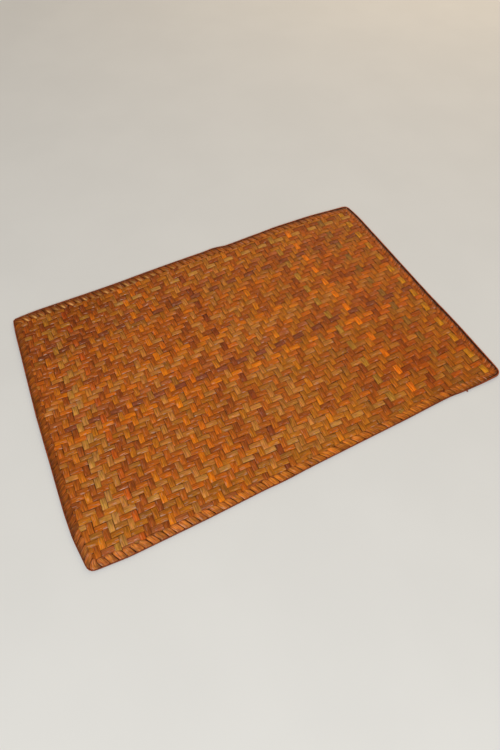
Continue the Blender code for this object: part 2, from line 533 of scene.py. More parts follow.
def lay_strips(settings, limits, upright):
    """Points, faces and attributes of all strips of one kind. A strip's edges run at a constant
    share of a crossing from its middle in the plait's coordinates, its height goes up and down
    through the twill, and its section is carried along it square to its length."""
    kind = "upright" if upright else "lengthways"
    random = np.random.default_rng(SEEDS[kind])
    first, last = (
        (FIRST_UPRIGHT, LAST_UPRIGHT) if upright else (FIRST_LENGTHWAYS, LAST_LENGTHWAYS)
    )
    far_first, far_last = (
        (FIRST_LENGTHWAYS, LAST_LENGTHWAYS) if upright else (FIRST_UPRIGHT, LAST_UPRIGHT)
    )
    numbers = np.arange(first, last)
    own_limits, side_limits = limits if upright else limits[::-1]
    crossings = np.arange(far_first, far_last) + (0 if upright else 0.5)
    stations = (crossings[:, None] + np.array(STATION_SHARES)).ravel()
    wander = slow_noise(random, len(numbers), settings.wander_length, stations)
    narrowing_length = settings.wander_length * NARROWING_STRETCH
    narrowing = slow_noise(random, len(numbers), narrowing_length, stations)
    rolls = slow_noise(random, len(numbers), ROLL_LENGTH, stations)
    cover = settings.cover + random.uniform(-1, 1, len(numbers)) * settings.cover_change
    dyes = strip_dyes(random, numbers, upright)
    tones = 1 + settings.tone_change * random.uniform(-1, 1, (len(numbers), len(stations)))
    hues = random.uniform(-1, 1, (len(numbers), len(stations), 1)) * HUE_SHARES
    all_points, all_faces, all_parts = [], [], []
    placed = 0
    around = len(SECTION_ACROSS)
    for row, number in enumerate(numbers):
        middle = number + (0.5 if upright else 0.0)
        low = np.interp(middle, own_limits[0], own_limits[1][0])
        high = np.interp(middle, own_limits[0], own_limits[1][1])
        if not np.isfinite(low + high):
            near = np.isfinite(own_limits[1][0])
            low = np.interp(middle, own_limits[0][near], own_limits[1][0][near])
            high = np.interp(middle, own_limits[0][near], own_limits[1][1][near])
        kept = (stations > low + END_GAP) & (stations < high - END_GAP)
        at = np.concatenate([[low], stations[kept], [high]])
        half = cover[row] / 2 * (1 + settings.width_change * narrowing[row])
        centre = middle + settings.wander * wander[row]
        left = np.interp(at, stations, centre - half)
        right = np.interp(at, stations, centre + half)
        left = np.maximum(left, np.interp(at, side_limits[0], side_limits[1][0]))
        right = np.minimum(right, np.interp(at, side_limits[0], side_limits[1][1]))
        kept = longest_run(right - left > settings.narrowest)
        if kept.stop - kept.start < FEWEST_STATIONS:
            continue
        at, left, right = at[kept], left[kept], right[kept]
        beside = left[:, None] + (right - left)[:, None] * (SECTION_ACROSS + 1) / 2
        if upright:
            x, y = plait_place(beside, at[:, None])
        else:
            x, y = plait_place(at[:, None], beside)
        flat = np.stack([x, y], axis=-1)
        depth = depth_inside(flat, HOLE_LINE[::COARSE])
        kept = longest_run(depth.min(axis=1) > -EDGE_WIDTHS.max())
        if kept.stop - kept.start < FEWEST_STATIONS:
            continue
        at, flat, depth = at[kept], flat[kept], depth[kept]
        level = strip_level(number, at, upright)
        roll = np.interp(at, stations, rolls[row])
        height = panel_height(depth, settings) + settings.amplitude * level[:, None]
        side = 1 if upright else -1
        thickness = settings.thickness * SECTION_HEIGHT
        height = height + thickness + side * settings.roll * roll[:, None] * SECTION_ACROSS
        points = np.concatenate([flat, height[..., None]], axis=-1)
        if not upright:
            points = points[:, ::-1]
            depth = depth[:, ::-1]
        steps = np.linalg.norm(np.diff(points[:, around // 2], axis=0), axis=1)
        length = np.concatenate([[0], np.cumsum(steps)])[:, None] + number * settings.apart
        width = np.linalg.norm(flat[:, 4] - flat[:, 0], axis=1)[:, None]
        across = width / 2 * SECTION_ACROSS
        edge = SECTION_ACROSS[None, :]
        if not upright:
            across = across[:, ::-1]
            edge = edge[:, ::-1]
        floats = np.floor((np.round(at) - number + (0 if upright else 1)) / TWILL).astype(int)
        tone = tones[row][floats % len(stations)]
        # painted light and shade by the strip's slope along its length
        lean = np.clip(np.gradient(level, at), -1, 1)
        tone = tone * (1 + LEAN_PAINTED_LIGHT[kind] * lean)
        hue = hues[row][floats % len(stations)]
        dye = dyes[row] * tone[:, None] * (1 + settings.hue_change * hue)
        # the patches' own tone with their painted light and shade
        dye = np.repeat(dye[:, None], around, axis=1) * patch_tone_and_light(points[..., :2])
        # painted shade under the whipping and where the strip goes down between its neighbours
        under = np.clip(-depth / settings.shadow, 0, 1)
        painted_shade = np.maximum(0.5 - level[:, None] / 2, under)
        all_points.append(points.reshape(-1, 3))
        all_faces += skin_faces(len(points), around, placed, False)
        edge = np.broadcast_to(edge, across.shape)
        # painted highlight, varying with the strip's roll
        pale = painted_sheen_share(points[..., :2], upright) * (1 + 0.5 * roll[:, None])
        all_parts.append((across, np.broadcast_to(length, across.shape), edge, dye, painted_shade, pale))
        placed += points.shape[0] * around
    parts = [
        np.concatenate([each[k].reshape(-1, *each[k].shape[2:]) for each in all_parts])
        for k in range(6)
    ]
    return np.concatenate(all_points), all_faces, strip_attributes(*parts)


def strip_dyes(random, numbers, upright):
    """Each strip's own colour: drawn from the dyes by how often each is used, lightened or darkened
    a little, with the strips that stand out set by their number."""
    colours = np.array([row[0] for row in DYES.values()])
    uses = np.array([row[1 if upright else 2] for row in DYES.values()])
    drawn = random.choice(len(colours), len(numbers), p=uses / uses.sum())
    dyes = colours[drawn] * random.uniform(0.93, 1.07, (len(numbers), 1))
    for number, colour in (UPRIGHT_ACCENTS if upright else LENGTHWAYS_ACCENTS).items():
        dyes[number - numbers[0]] = colour
    return dyes


def patch_tone_and_light(points):
    """The mat's tint at each point, about 1, partly the leaves' own tone and partly painted light and
    shade: soft round patches, each a bell curve of the distance from its middle, that make it lighter
    or darker and more or less grey. Greyness goes wholly to blue and in part to green."""
    tone = np.ones(points.shape[:-1] + (3,))
    for x, y, reach, change, grey in TONE_AND_LIGHT_PATCHES:
        away = np.hypot(points[..., 0] - x * MM, points[..., 1] - y * MM) / (reach * MM)
        changes = change + grey * np.array((0.0, 0.25, 1.0))
        tone += changes * np.exp(-(away**2))[..., None]
    return tone


def painted_sheen_share(points, upright):
    """How much painted highlight shows on a strip: most on lengthways strips in the left half,
    falling on an eased line towards the right."""
    low, high = CAD_BOX
    share = np.clip((points[..., 0] - low[0]) / (high[0] - low[0]), 0, 1)
    least, more = PAINTED_SHEEN_SHARES["upright" if upright else "lengthways"]
    return least + more * (1 - eased(share))


# The edge

# Length of a whipping turn along the edge, in millimetres: shares of the whole edge from the middle
# of the left side, going round by the near side, and the length there.
TURN_PITCHES = (
    (0.00, 7.5),
    (0.10, 7.4),
    (0.18, 7.3),
    (0.195, 6.2),
    (0.220, 6.2),
    (0.230, 8.8),
    (0.32, 8.8),
    (0.36, 6.4),
    (0.41, 6.2),
    (0.45, 7.4),
    (0.60, 8.0),
    (0.66, 8.4),
    (0.90, 8.4),
    (0.94, 7.6),
    (1.00, 7.5),
)

# The edge's looks, by the same shares of the whole edge.
# columns: share of the edge, whipping colour, how much painted highlight shows, painted highlight
# stripe along each turn's crest, whipping's distance from the outer line in millimetres, width of a
# turn as a share of its pitch, how plump a turn is, rim strand's height in millimetres, rim strand's
# lightness, lightness of a turn's outer end under its painted shade
EDGE_LOOKS = (
    (0.00, srgb(152, 77, 14), 0.30, 0.00, 1.5, 1.02, 0.65, 2.2, 1.3, 0.60),
    (0.07, srgb(144, 72, 18), 0.25, 0.00, 1.4, 1.00, 0.85, 2.1, 1.0, 0.60),
    (0.105, srgb(200, 112, 50), 0.60, 0.35, 1.2, 0.94, 1.15, 1.9, 0.9, 0.70),
    (0.16, srgb(204, 114, 46), 0.60, 0.25, 1.1, 0.94, 1.15, 1.8, 0.9, 0.72),
    (0.19, srgb(204, 113, 32), 0.40, 0.20, 1.1, 0.96, 1.00, 1.8, 1.0, 0.76),
    (0.30, srgb(194, 106, 26), 0.40, 0.12, 1.1, 0.97, 0.85, 1.8, 1.0, 0.70),
    (0.38, srgb(178, 94, 20), 0.40, 0.08, 1.4, 1.00, 0.70, 2.0, 0.9, 0.62),
    (0.41, srgb(174, 82, 10), 0.50, 0.06, 2.5, 1.05, 0.50, 2.4, 1.9, 0.08),
    (0.59, srgb(174, 84, 10), 0.50, 0.06, 2.5, 1.05, 0.50, 2.4, 1.9, 0.08),
    (0.64, srgb(166, 84, 16), 0.60, 0.25, 2.4, 0.98, 0.75, 2.5, 1.8, 0.55),
    (0.76, srgb(158, 78, 12), 0.60, 0.30, 2.1, 0.97, 0.90, 2.4, 1.6, 0.65),
    (0.80, srgb(134, 64, 8), 0.35, 0.85, 1.7, 0.98, 0.95, 2.3, 1.4, 0.90),
    (0.895, srgb(134, 64, 8), 0.35, 0.90, 1.7, 0.98, 0.95, 2.3, 1.4, 0.90),
    (0.905, srgb(150, 76, 12), 0.25, 0.00, 1.6, 1.02, 0.60, 2.3, 1.3, 0.75),
    (1.00, srgb(152, 77, 14), 0.30, 0.00, 1.5, 1.02, 0.65, 2.2, 1.3, 0.60),
)

# How far along the edge a turn's top carries it on, as a share of the turn.
TURN_ADVANCE = 0.66
TURN_STATIONS = 20

# The whipping strand's section: places across it and rise above its flat underside.
TURN_ACROSS = np.array((-1.0, -0.72, -0.3, 0.3, 0.72, 1.0, 0.7, -0.7))
TURN_RISE = np.array((0.00, 0.62, 0.96, 0.96, 0.62, 0.00, -0.35, -0.35))
# where the painted highlight stripe lies across the strand
TURN_CREST_HIGHLIGHT = np.array((0.00, 0.00, 0.20, 1.00, 0.00, 0.00, 0.0, 0.0))

# The powers that round a turn's rectangle: sideways, upwards outside and its increase to the hole.
SIDE_POWER, RISE_POWER, RISE_POWER_INCREASE = 0.72, 0.62, 0.50
# The size of that rectangle from its middle, for the direction in which the strand is thick.
TURN_HALF_WIDTH, TURN_HALF_HEIGHT = 5.0 * MM, 1.4 * MM
# Width of the strand from its middle, as its fibres are laid out.
STRAND_HALF_WIDTH = 2.6 * MM
# How much turns differ: hole and outer end along the edge in turns, hole inwards, plumpness, tone.
HOLE_SHIFT, OUTER_SHIFT, INSET_CHANGE, PLUMP_CHANGE, TONE_CHANGE = 0.06, 0.05, 0.3 * MM, 0.18, 0.22
# How far in along a turn, from 0 outside to 1 at its hole, each change starts and how long it takes:
# its gathering, its painted crest highlight, the painted shade on its outer end and the painted
# shade in its needle hole.
GATHER_STRETCH = 0.24
CREST_START, CREST_STRETCH = 0.25, 0.55
SHADE_START, SHADE_STRETCH = 0.5, 0.42
HOLE_START, HOLE_STRETCH = 0.66, 0.24
# Thickness left in a gathered turn, painted shade in the groove beside a plump turn, and the
# strand's least height above the table.
GATHERED_THICKNESS = 0.55
GROOVE_SHADE = 0.42
LEAST_HEIGHT = 0.05 * MM


def turn_places():
    """Distances along the edge at which the whipping's turns begin, one for each whole turn and one
    past the last: the pitch is summed along the edge and stretched to a whole number of turns."""
    at = np.linspace(0, EDGE_LENGTH, 3001)
    shares, lengths = np.array(TURN_PITCHES).T
    pitch = np.interp(at / EDGE_LENGTH, shares, lengths) * MM
    turns = np.concatenate([[0], np.cumsum((1 / pitch[1:] + 1 / pitch[:-1]) / 2 * np.diff(at))])
    whole = int(round(turns[-1]))
    return whole, at, turns * whole / turns[-1]


def edge_looks(at):
    """The edge's looks at distances along it: straight lines between the table's rows, the whipping
    colour first and then the other columns in their order."""
    shares = [row[0] for row in EDGE_LOOKS]
    share = np.mod(at, EDGE_LENGTH) / EDGE_LENGTH
    dyes = np.array([row[1] for row in EDGE_LOOKS])
    dye = np.stack([np.interp(share, shares, dyes[:, k]) for k in range(3)], axis=-1)
    return dye, *(np.interp(share, shares, [row[k] for row in EDGE_LOOKS]) for k in range(2, 10))


def rounded(value, power):
    """A value from -1 to 1 raised to a power that keeps its sign."""
    return np.sign(value) * np.abs(value) ** power


def whip_edge(settings):
    """The whipping strand, one unbroken helix. Round each turn the strand follows a rounded
    rectangle, cosine and sine each raised to a power, from the needle hole over the top to the
    outside and back underneath. It moves on along the edge by more on top than underneath, and it
    is gathered narrow at the hole."""
    random = np.random.default_rng(SEEDS["whipping"])
    whole, at, turns = turn_places()
    angle = np.arange(TURN_STATIONS) / TURN_STATIONS * 2 * math.pi
    cosine, sine = np.cos(angle), np.sin(angle)
    inward = 0.5 + 0.5 * rounded(cosine, SIDE_POWER)
    rise = rounded(sine, RISE_POWER + RISE_POWER_INCREASE * inward)
    share = angle / (2 * math.pi)
    on_top = share < 0.5
    advance = np.where(
        on_top, TURN_ADVANCE * (1 - inward), TURN_ADVANCE + (1 - TURN_ADVANCE) * inward
    )
    open_share = eased(np.clip((1 - inward) / GATHER_STRETCH, 0, 1))
    begins = np.interp(np.arange(whole) + 0.5, turns, at)
    looks, pale, crest, away, cover, plumpness, *_, outer_light = edge_looks(begins)
    cover = cover * settings.turn_cover
    width = settings.gathered + (cover[:, None] - settings.gathered) * open_share
    hole_shift = random.uniform(-1, 1, whole) * HOLE_SHIFT
    outer_shift = random.uniform(-1, 1, whole) * OUTER_SHIFT
    hole_inset = random.uniform(-1, 1, whole) * INSET_CHANGE
    plump = plumpness * (1 + random.uniform(-1, 1, whole) * PLUMP_CHANGE)
    tone = 1 + random.uniform(-1, 1, whole) * TONE_CHANGE
    number = np.arange(whole)[:, None]
    outness = (1 - inward)[None, :]
    next_hole = np.roll(hole_shift, -1)[:, None]
    hole_now = np.where(on_top, hole_shift[:, None], next_hole)
    phase = number + advance[None, :] + outer_shift[:, None] * outness + hole_now * (1 - outness)
    next_inset = np.roll(hole_inset, -1)[:, None]
    inset_now = np.where(on_top, hole_inset[:, None], next_inset) * (1 - outness)
    # places across the strand, in turns
    spread = width[..., None] / 2 * TURN_ACROSS
    phase = phase[..., None] + spread
    along = np.interp(np.mod(phase, whole), turns, at)
    edge_width = round_line(EDGE_WIDTHS, along)[..., 0]
    outermost = away[:, None, None] * MM + settings.turn_thickness * 0.5
    reach = edge_width - outermost
    inset = outermost + reach * inward[None, :, None] + inset_now[..., None]
    middle = settings.turn_top / 2
    climb = (middle - settings.turn_thickness) * rise
    height = middle + np.broadcast_to(climb[None, :, None], inset.shape)
    # outward direction of the turn's own curve, in the plane of inset and height
    slope_in, slope_up = (
        np.gradient(np.concatenate([each[-1:], each, each[:1]]))[1:-1] * size
        for each, size in ((inward, TURN_HALF_WIDTH), (rise, TURN_HALF_HEIGHT))
    )
    size = np.hypot(slope_in, slope_up)
    normal_in, normal_up = slope_up / size, -slope_in / size
    thick = settings.turn_thickness * TURN_RISE * plump[:, None, None]
    thick = thick * (GATHERED_THICKNESS + (1 - GATHERED_THICKNESS) * open_share)[None, :, None]
    inset = inset + normal_in[None, :, None] * thick
    height = np.maximum(height + normal_up[None, :, None] * thick, LEAST_HEIGHT)
    flat = edge_place(along, inset)
    points = np.concatenate([flat, height[..., None]], axis=-1)
    points = points.reshape(-1, len(TURN_ACROSS), 3)
    steps = np.linalg.norm(np.diff(points[:, 2], axis=0), axis=1)
    length = np.concatenate([[0], np.cumsum(steps)])[:, None]
    across = np.broadcast_to(TURN_ACROSS * STRAND_HALF_WIDTH, points.shape[:2])
    edge = np.broadcast_to(TURN_ACROSS, across.shape)
    looks = looks * np.array(settings.turn_tint) * tone[:, None]
    # painted highlight stripe along a turn's crest, fading in towards its hole
    crest = crest * random.uniform(0.5, 1.2, whole)
    inner_end = eased(np.clip((inward - CREST_START) / CREST_STRETCH, 0, 1))
    crest = crest[:, None, None] * inner_end[:, None] * TURN_CREST_HIGHLIGHT
    crest = np.clip(crest, 0, 1)[..., None]
    # painted shade on a turn's outer end, darkest where that end's lightness is low
    outer_end = eased(np.clip((SHADE_START - inward) / SHADE_STRETCH, 0, 1))
    light = 1 - (1 - outer_light[:, None]) * outer_end
    looks = looks[:, None] * light[..., None]
    dye = looks[:, :, None] * (1 - crest) + np.array(settings.crest_highlight_colour) * crest
    dye = dye.reshape(-1, len(TURN_ACROSS), 3)
    # painted highlight on the whipping
    pale = pale * random.uniform(0.4, 1.3, whole)
    pale = np.broadcast_to(np.repeat(pale, TURN_STATIONS)[:, None], across.shape)
    # painted shade in the needle holes between the turns' inner ends
    near_hole = np.clip((inward - HOLE_START) / HOLE_STRETCH, 0, 1)
    hole_shade = near_hole * random.uniform(0.2, 0.7, whole)[:, None]
    painted_shade = hole_shade.reshape(-1, 1) * np.abs(TURN_ACROSS) ** 1.5
    # and painted shade in the grooves between plump turns
    plump_there = np.repeat(plump, TURN_STATIONS)[:, None]
    groove_shade = plump_there * GROOVE_SHADE * np.abs(TURN_ACROSS) ** 3
    painted_shade = np.maximum(painted_shade, groove_shade)
    faces = skin_faces(len(points), len(TURN_ACROSS), 0, True, clockwise=True)
    length = np.broadcast_to(length, across.shape)
    return points, faces, strip_attributes(across, length, edge, dye, painted_shade, pale)


def carry_round(inset, height, stations):
    """Points of a closed section carried right round the edge at even distances: the section is a
    list of insets and heights, the same at each station or one row for each."""
    along = np.arange(stations) / stations * EDGE_LENGTH
    inset = np.broadcast_to(inset, (stations, np.shape(inset)[-1]))
    height = np.broadcast_to(height, inset.shape)
    along = np.broadcast_to(along[:, None], inset.shape)
    flat = edge_place(along, inset)
    return along, np.concatenate([flat, height[..., None]], axis=-1)


# Stations along the rim strand and the hem, and points round each.
RIM_STATIONS, RIM_AROUND = 900, 14
HEM_STATIONS, HEM_AROUND = 520, 10
# Length of the rim's swellings, and the stretch over which they die out before the line closes.
SWELL_LENGTH, SWELL_END = 0.021, 0.02
# How dark the rim's inner side is painted: painted shade in the groove between it and the whipping.
RIM_GROOVE_SHADE = 0.85
# The rim's girth and half the hem's width, as their fibres are laid out.
RIM_GIRTH, HEM_HALF_WIDTH = 6.0 * MM, 3 * MM
# The hem's distance from the outer line and from the needle holes, its middle's height and half
# its thickness.
HEM_OUTER, HEM_INNER = 1.5 * MM, 1.9 * MM
HEM_MIDDLE, HEM_HALF = 1.05 * MM, 0.55 * MM


def rim_roll(settings):
    """The rim strand: a rounded section, cosine and sine each raised to a power, carried round the
    edge, a little thicker and thinner from place to place."""
    random = np.random.default_rng(SEEDS["rim"])
    stations, around = RIM_STATIONS, RIM_AROUND
    angle = np.arange(around) / around * 2 * math.pi
    at = np.arange(stations) / stations * EDGE_LENGTH
    swell = slow_noise(random, 1, SWELL_LENGTH, at)[0]
    swell = swell * np.clip((EDGE_LENGTH - at) / SWELL_END, 0, 1)
    half_width = settings.rim_width / 2 * (1 + 0.05 * swell)[:, None]
    *_, height_there, light_there, _ = edge_looks(at)
    half_height = height_there * MM * settings.rim_scale / 2
    half_height = (half_height * (1 + 0.03 * swell))[:, None]
    inset = settings.rim_width / 2 + half_width * rounded(-np.cos(angle), 0.85)
    height = half_height * (1 + rounded(np.sin(angle), 0.85))
    along, points = carry_round(inset, height, stations)
    faces = skin_faces(stations, around, 0, True, clockwise=True)
    across = np.broadcast_to(angle / (2 * math.pi) * RIM_GIRTH, along.shape)
    # painted shade on the rim's inner side, in the groove
    inner_side = np.clip((-0.25 - np.cos(angle)) / 0.65, 0, 1)
    groove = 1 - RIM_GROOVE_SHADE * eased(inner_side)
    dye = np.array(settings.rim_dye) * light_there[:, None, None] * groove[:, None]
    # painted shade on the rim's underside; the rim also gets a little painted highlight all over
    low = np.clip(0.5 - np.sin(angle), 0, 1) * 0.5
    none = np.zeros(along.shape)
    return points, faces, strip_attributes(
        across, along, none, dye, np.broadcast_to(low, along.shape), none + 0.2
    )


def hem_roll(settings):
    """The turned and trimmed plait under the whipping: a flat rounded section carried round, coloured
    dark all over as painted shade, since it shows only in the shaded slits between the turns.
    """
    stations, around = HEM_STATIONS, HEM_AROUND
    angle = np.arange(around) / around * 2 * math.pi
    at = np.arange(stations) / stations * EDGE_LENGTH
    width = round_line(EDGE_WIDTHS, at)
    low, high = HEM_OUTER, width - HEM_INNER
    inset = (low + high) / 2 + (high - low) / 2 * rounded(-np.cos(angle), 0.5)
    height = HEM_MIDDLE + HEM_HALF * rounded(np.sin(angle), 0.6)
    along, points = carry_round(inset, height, stations)
    faces = skin_faces(stations, around, 0, True, clockwise=True)
    across = np.broadcast_to(np.cos(angle) * HEM_HALF_WIDTH, along.shape)
    # painted shade: the hem's dark colour and strong shade all over
    dye = np.broadcast_to(np.array(settings.hem_shade_colour), along.shape + (3,))
    none = np.zeros(along.shape)
    return points, faces, strip_attributes(across, along, none, dye, none + 0.8, none)


def loose_end(settings):
    """The cut end of the strand that sticks out of the near side: a flat section carried along a
    line that leaves the rim, slants along the edge and comes down, narrowing to its end."""
    stations = np.linspace(0, 1, 9)[:, None]
    start = CAD_BOX[0][0] + settings.end_place
    near = OUTER_LINE[:, 1] < 0
    nearest = np.argmin(np.where(near, np.abs(OUTER_LINE[:, 0] - start), np.inf))
    width = settings.end_width * (1 - 0.45 * stations**2)
    along = EDGE_PLACES[nearest] + 1.5 * MM * stations + width / 2 * SECTION_ACROSS
    inset = 1.8 * MM - settings.end_length * stations + 0 * along
    height = (1.9 - 1.45 * stations**0.8) * MM + 0.45 * MM * SECTION_HEIGHT
    points = np.concatenate([edge_place(along, inset), height[..., None]], axis=-1)
    faces = skin_faces(len(stations), len(SECTION_ACROSS), 0, False, clockwise=True)
    across = width / 2 * SECTION_ACROSS
    length = np.broadcast_to(settings.end_length * stations, across.shape)
    dye = np.broadcast_to(np.array(settings.rim_dye), across.shape + (3,))
    none = np.zeros(across.shape)
    return points, faces, strip_attributes(across, length, none, dye, none, none)


# Materials


def new_group(name, inputs, outputs):
    """An empty shader node group with named sockets."""
    group = bpy.data.node_groups.new(name, "ShaderNodeTree")
    for label, kind, default in inputs:
        socket = group.interface.new_socket(label, in_out="INPUT", socket_type=kind)
        socket.default_value = default
    for label, kind in outputs:
        group.interface.new_socket(label, in_out="OUTPUT", socket_type=kind)
    return group, Nodes(group)


class Nodes:
    """Short ways to add nodes to a tree and join them."""

    def __init__(self, tree):
        self.tree = tree

    def add(self, kind, settings=None, **inputs):
        """A new node with its settings and the inputs named, a space written as an underscore."""
        node = self.tree.nodes.new(kind)
        for key, value in (settings or {}).items():
            setattr(node, key, value)
        for key, value in inputs.items():
            self.feed(node.inputs[key.replace("_", " ")], value)
        return node

    def feed(self, socket, value):
        """Joins a socket to another, or sets its value."""
        if isinstance(value, bpy.types.NodeSocket):
            self.tree.links.new(value, socket)
        else:
            socket.default_value = value

    def math(self, operation, first, second=0.0):
        """One sum on two values."""
        node = self.tree.nodes.new("ShaderNodeMath")
        node.operation = operation
        self.feed(node.inputs[0], first)
        self.feed(node.inputs[1], second)
        return node.outputs[0]

    def between(self, value, low, high, to_low=0.0, to_high=1.0):
        """An eased step from one value to another as the input goes from low to high."""
        node = self.tree.nodes.new("ShaderNodeMapRange")
        node.interpolation_type = "SMOOTHSTEP"
        for socket, given in zip(node.inputs, (value, low, high, to_low, to_high)):
            self.feed(socket, given)
        return node.outputs[0]

    def mix(self, factor, first, second, blend="MIX"):
        """Two colours mixed or multiplied."""
        node = self.tree.nodes.new("ShaderNodeMix")
        node.data_type = "RGBA"
        node.blend_type = blend
        self.feed(node.inputs[0], factor)
        self.feed(node.inputs[6], first)
        self.feed(node.inputs[7], second)
        return node.outputs[2]


# The slower changes along a strip.
# columns: noise to a metre across and along, offset that keeps it unlike the others, detail
FIBRE_LAYERS = {
    "Tone": (900.0, 110.0, 0.0, 2.0),
    "Flecks": (2600.0, 700.0, 0.0, 1.0),
    "Streaks": (1250.0, 160.0, 7.0, 2.0),
    "Warmth": (420.0, 150.0, 3.0, 1.0),
}
# Noise values between which a fleck's edge lies.
FLECK_EDGE = (0.74, 0.80)


def fibre_group():
    """Node group: the fibre lines and slow changes of tone along a strip of leaf. Both are noise on
    the place across and along the strip, stretched lengthwise."""
    group, nodes = new_group(
        "Leaf fibre",
        [
            ("Place", "NodeSocketVector", (0, 0, 0)),
            ("Fibres", "NodeSocketFloat", 3200.0),
            ("Stretch", "NodeSocketFloat", 0.03),
        ],
        [
            ("Lines", "NodeSocketFloat"),
            ("Tone", "NodeSocketFloat"),
            ("Flecks", "NodeSocketFloat"),
            ("Streaks", "NodeSocketFloat"),
            ("Warmth", "NodeSocketFloat"),
        ],
    )
    given = nodes.add("NodeGroupInput").outputs
    out = nodes.add("NodeGroupOutput")
    parts = nodes.add("ShaderNodeSeparateXYZ", Vector=given["Place"]).outputs
    across = nodes.math("MULTIPLY", parts[0], given["Fibres"])
    along_scale = nodes.math("MULTIPLY", given["Fibres"], given["Stretch"])
    along = nodes.math("MULTIPLY", parts[1], along_scale)
    place = nodes.add("ShaderNodeCombineXYZ", X=across, Y=along).outputs[0]
    lines = nodes.add(
        "ShaderNodeTexNoise", Vector=place, Scale=1.0, Detail=3.0, Roughness=0.62
    ).outputs[0]
    nodes.feed(out.inputs["Lines"], lines)
    for label, (across_scale, along_scale, offset, detail) in FIBRE_LAYERS.items():
        across = nodes.math("MULTIPLY", parts[0], across_scale)
        along = nodes.math("MULTIPLY", parts[1], along_scale)
        place = nodes.add("ShaderNodeCombineXYZ", X=across, Y=along, Z=offset).outputs[0]
        noise = nodes.add("ShaderNodeTexNoise", Vector=place, Scale=1.0, Detail=detail).outputs[0]
        if label == "Flecks":
            noise = nodes.between(noise, *FLECK_EDGE)
        nodes.feed(out.inputs[label], noise)
    return group


def light_and_tone_group():
    """Node group: a strip's own tone with painted light and shade. Colour varies along fibres and in
    slow patches, takes a warm or cool cast and pale flecks, is painted lighter on one side and darker
    on the other, is darkened with painted shade along the strip's edges and where it goes down
    between its neighbours, so that tops stay lighter, and gets painted highlight streaks."""
    group, nodes = new_group(
        "Leaf tone and painted light",
        [
            ("Dye", "NodeSocketColor", (0.3, 0.1, 0.03, 1)),
            ("Lines", "NodeSocketFloat", 0.5),
            ("Tone", "NodeSocketFloat", 0.5),
            ("Flecks", "NodeSocketFloat", 0.0),
            ("Streaks", "NodeSocketFloat", 0.5),
            ("Warmth", "NodeSocketFloat", 0.5),
            ("Pale", "NodeSocketFloat", 0.0),
            ("Edge", "NodeSocketFloat", 0.0),
            ("Painted shade", "NodeSocketFloat", 0.0),
            ("Shade strength", "NodeSocketFloat", 0.8),
            ("Unevenness", "NodeSocketFloat", 1.0),
        ],
        [("Colour", "NodeSocketColor"), ("Roughness", "NodeSocketFloat")],
    )
    given = nodes.add("NodeGroupInput").outputs
    out = nodes.add("NodeGroupOutput")
    fibre = nodes.between(given["Lines"], 0.32, 0.68, 0.84, 1.14)
    slow = nodes.between(given["Tone"], 0.35, 0.65, -0.20, 0.18)
    slow = nodes.math("ADD", 1.0, nodes.math("MULTIPLY", slow, given["Unevenness"]))
    brightness = nodes.math("MULTIPLY", fibre, slow)
    # painted light and shade across a strip: lighter on one side, darker on the other
    lit_side = nodes.between(given["Edge"], -0.8, 1.0, 1.06, 0.88)
    brightness = nodes.math("MULTIPLY", brightness, lit_side)
    from_middle = nodes.math("ABSOLUTE", given["Edge"])
    # painted shade in the gaps along a strip's edges
    edge_gap_shade = nodes.between(from_middle, 0.74, 1.0)
    edge_gap_shade = nodes.math(
        "MULTIPLY", edge_gap_shade, nodes.between(given["Tone"], 0.3, 0.7, 0.68, 0.10)
    )
    # painted shade where the strip goes down between its neighbours or under other parts
    painted_shade_dark = nodes.between(given["Painted shade"], 0.18, 0.70)
    dark = nodes.math("MAXIMUM", edge_gap_shade, painted_shade_dark)
    dark = nodes.math("MULTIPLY", dark, given["Shade strength"])
    brightness = nodes.math("MULTIPLY", brightness, nodes.math("SUBTRACT", 1.0, dark))
    scale = nodes.add("ShaderNodeCombineXYZ", X=brightness, Y=brightness, Z=brightness)
    warmth = nodes.between(given["Warmth"], 0.34, 0.66)
    cast = nodes.mix(warmth, (1.02, 0.93, 0.90, 1), (0.98, 1.05, 0.72, 1))
    colour = nodes.mix(1.0, given["Dye"], cast, "MULTIPLY")
    # painted highlight streaks, strongest towards one side of the strip
    sheen_paint = nodes.between(given["Streaks"], 0.55, 0.64)
    side = nodes.between(given["Edge"], 0.35, -0.45, 0.12, 1.0)
    sheen_paint = nodes.math("MULTIPLY", nodes.math("MULTIPLY", sheen_paint, side), given["Pale"])
    colour = nodes.mix(nodes.math("MULTIPLY", sheen_paint, 0.84), colour, (0.53, 0.31, 0.23, 1))
    colour = nodes.mix(1.0, colour, scale.outputs[0], "MULTIPLY")
    fleck = nodes.math("MULTIPLY", given["Flecks"], 0.5)
    colour = nodes.mix(fleck, colour, (0.62, 0.44, 0.26, 1))
    rough = nodes.between(given["Lines"], 0.3, 0.7, 0.62, 0.44)
    rough = nodes.math("ADD", rough, nodes.math("MULTIPLY", dark, 0.25))
    nodes.feed(out.inputs["Colour"], colour)
    nodes.feed(out.inputs["Roughness"], rough)
    return group


